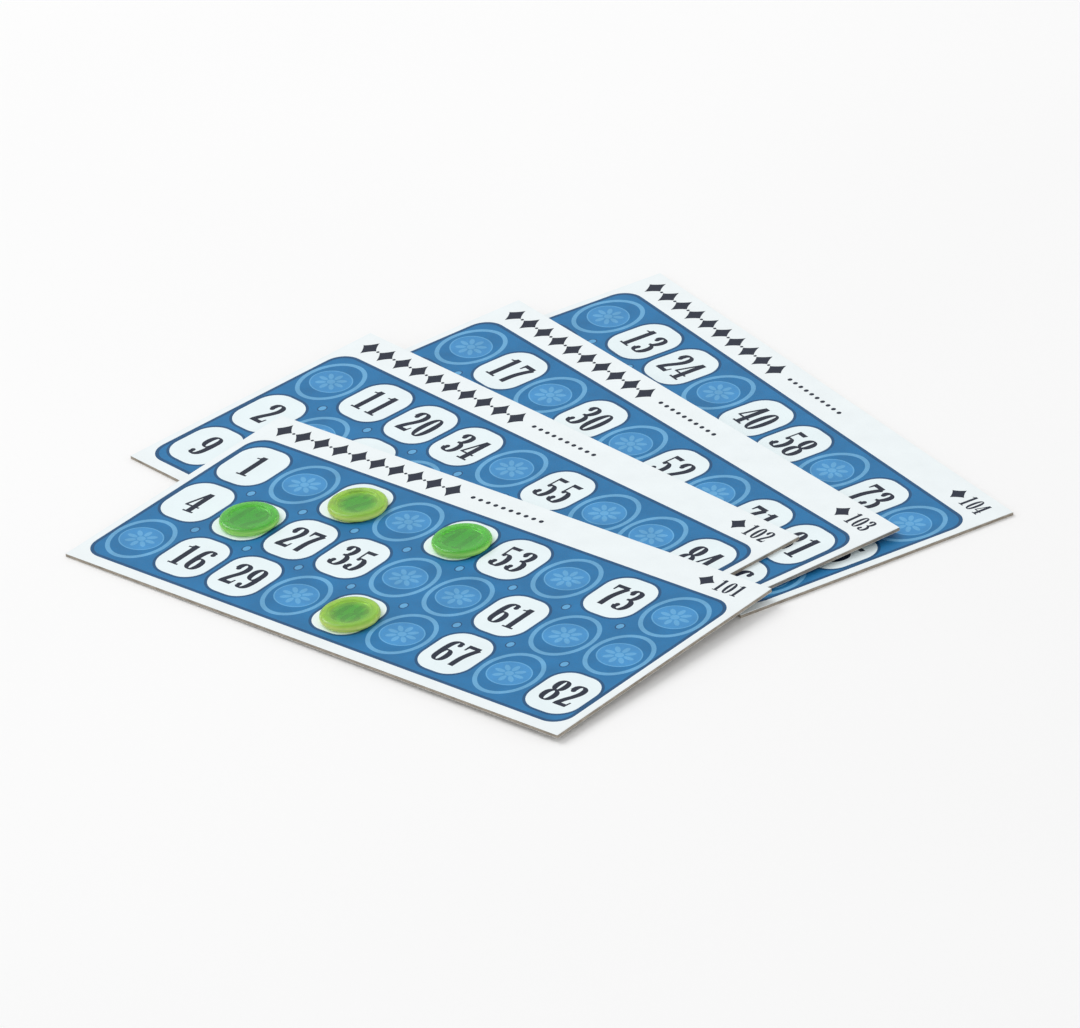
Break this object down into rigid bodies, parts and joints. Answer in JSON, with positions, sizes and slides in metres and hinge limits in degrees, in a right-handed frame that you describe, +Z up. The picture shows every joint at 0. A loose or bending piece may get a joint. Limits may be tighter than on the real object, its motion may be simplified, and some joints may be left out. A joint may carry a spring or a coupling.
{
  "type": "bingo card",
  "caption": "Fan of overlapping cardboard number cards for a lotto or bingo game, with see-through green markers lying on the front card.",
  "frame": {"origin": "centre of the bottom card's underside, on the table", "axes": "+X along the bottom card's long edge, +Y towards its title strip, +Z up from the table"},
  "size_m": [0.1852, 0.179, 0.0048],
  "materials": {
    "face_paper": "satin",
    "greyboard": "matte",
    "back_paper": "matte",
    "green_plastic": "gloss",
    "lime_plastic": "gloss"
  },
  "bodies": {
    "bottom_card": {"card_4_face": "face_paper", "card_4_core": "greyboard", "card_4_back": "back_paper"},
    "third_card": {"card_3_face": "face_paper", "card_3_core": "greyboard", "card_3_back": "back_paper"},
    "second_card": {"card_2_face": "face_paper", "card_2_core": "greyboard", "card_2_back": "back_paper"},
    "front_card": {"card_1_face": "face_paper", "card_1_core": "greyboard", "card_1_back": "back_paper"},
    "marker_1": {"marker_1": "lime_plastic"},
    "marker_2": {"marker_2": "green_plastic"},
    "marker_3": {"marker_3": "green_plastic"},
    "marker_4": {"marker_4": "lime_plastic"}
  },
  "joints": [
    {"name": "third_card_slide", "type": "slide", "parent": "bottom_card", "child": "third_card", "axis": [0, 0.9996, 0.0266], "range_m": [0, 0.035]},
    {"name": "second_card_slide", "type": "slide", "parent": "third_card", "child": "second_card", "axis": [0, 0.9996, 0.0266], "range_m": [0, 0.035]},
    {"name": "front_card_slide", "type": "slide", "parent": "second_card", "child": "front_card", "axis": [0, 0.9996, 0.0266], "range_m": [0, 0.035]},
    {"name": "marker_1_lift", "type": "slide", "parent": "front_card", "child": "marker_1", "axis": [0, -0.0266, 0.9996], "range_m": [0, 0.025]},
    {"name": "marker_2_lift", "type": "slide", "parent": "front_card", "child": "marker_2", "axis": [0, -0.0266, 0.9996], "range_m": [0, 0.025]},
    {"name": "marker_3_lift", "type": "slide", "parent": "front_card", "child": "marker_3", "axis": [0, -0.0266, 0.9996], "range_m": [0, 0.025]},
    {"name": "marker_4_lift", "type": "slide", "parent": "front_card", "child": "marker_4", "axis": [0, -0.0266, 0.9996], "range_m": [0, 0.025]}
  ]
}
